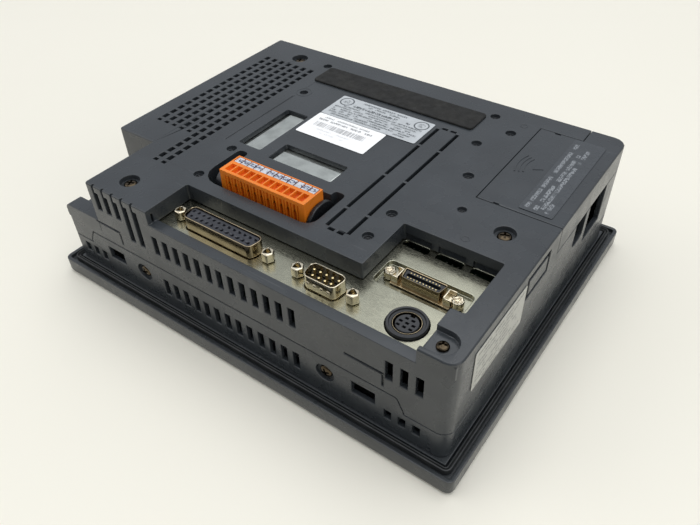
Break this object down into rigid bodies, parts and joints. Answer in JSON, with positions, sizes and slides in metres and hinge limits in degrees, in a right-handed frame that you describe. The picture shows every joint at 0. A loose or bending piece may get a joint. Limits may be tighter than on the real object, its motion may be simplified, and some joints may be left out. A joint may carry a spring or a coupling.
{
  "type": "hmi touch panel",
  "caption": "Panel-mounted touch-screen operator terminal with a flanged bezel, vented rear cover, a well of cable ports, a pull-off supply plug and a sliding card cover.",
  "frame": {"origin": "middle of the flange's footprint, on the display's face, which is the surface it lies on", "axes": "+X along the long side, to the right seen from the connector side; +Y from the connector side to the opposite long side; +Z from the display to the rear face"},
  "size_m": [0.215, 0.17, 0.066],
  "materials": {
    "slate_plastic": "fine grained, satin",
    "bezel_plastic": "fine grained, satin",
    "gasket_rubber": "matte",
    "foam_strip": "matte, open cells",
    "touch_glass": "smooth, dark",
    "plated_steel": "bright plated, warm",
    "galvanised_steel": "dull plated",
    "screw_steel": "dark bronze",
    "nickel_plate": "bright, slightly warm",
    "port_plastic": "satin black",
    "orange_plastic": "satin",
    "marker_plastic": "satin",
    "silver_label": "silvery film",
    "paper_label": "white film",
    "notice_label": "dark film",
    "circuit_board": "green lacquer",
    "display_module": "sheet metal and plastic"
  },
  "bodies": {
    "terminal": {"front_bezel": "bezel_plastic", "panel_gasket": "gasket_rubber", "touch_panel": "touch_glass", "display_module": "display_module", "chassis_frame": "galvanised_steel", "display_housing": "slate_plastic", "rear_cover": "slate_plastic", "side_blank": "slate_plastic", "connector_plate": "plated_steel", "main_board": "circuit_board", "power_board": "circuit_board", "backlight_inverter": "circuit_board", "shield_plate": "galvanised_steel", "expansion_connector": "port_plastic", "clock_battery": "galvanised_steel", "serial_port_shell": "nickel_plate", "serial_port_insert": "port_plastic", "serial_jackscrew_left": "nickel_plate", "serial_jackscrew_right": "nickel_plate", "data_port_shell": "nickel_plate", "data_port_insert": "port_plastic", "data_jackscrew_left": "nickel_plate", "data_jackscrew_right": "nickel_plate", "printer_port_shell": "nickel_plate", "printer_port_insert": "port_plastic", "printer_port_screw_left": "nickel_plate", "printer_port_screw_right": "nickel_plate", "tool_port_shell": "port_plastic", "tool_port_insert": "port_plastic", "power_header": "port_plastic", "foam_strip": "foam_strip", "rating_label": "silver_label", "serial_label": "paper_label", "side_label": "silver_label", "rear_screw_1": "screw_steel", "rear_screw_2": "screw_steel", "rear_screw_3": "screw_steel", "corner_screw": "screw_steel", "housing_screw_1": "screw_steel", "housing_screw_2": "screw_steel", "housing_screw_3": "screw_steel", "housing_screw_4": "screw_steel"},
    "card_cover": {"card_cover": "slate_plastic", "notice_label": "notice_label"},
    "power_plug": {"power_plug": "orange_plastic", "marker_strip": "marker_plastic"},
    "lever_left": {"lever_left": "port_plastic"},
    "lever_right": {"lever_right": "port_plastic"}
  },
  "joints": [
    {"name": "card_cover_slide", "type": "slide", "parent": "terminal", "child": "card_cover", "axis": [1, 0, 0], "range_m": [0, 0.012]},
    {"name": "power_plug_pull", "type": "slide", "parent": "terminal", "child": "power_plug", "axis": [0, 0, 1], "range_m": [0, 0.012]},
    {"name": "lever_left_tilt", "type": "hinge", "parent": "terminal", "child": "lever_left", "pos_m": [-0.03105, -0.03875, 0.0467], "axis": [0, -1, 0], "range_deg": [0, 10]},
    {"name": "lever_right_tilt", "type": "hinge", "parent": "terminal", "child": "lever_right", "pos_m": [0.01655, -0.03875, 0.0467], "axis": [0, 1, 0], "range_deg": [0, 10]}
  ]
}
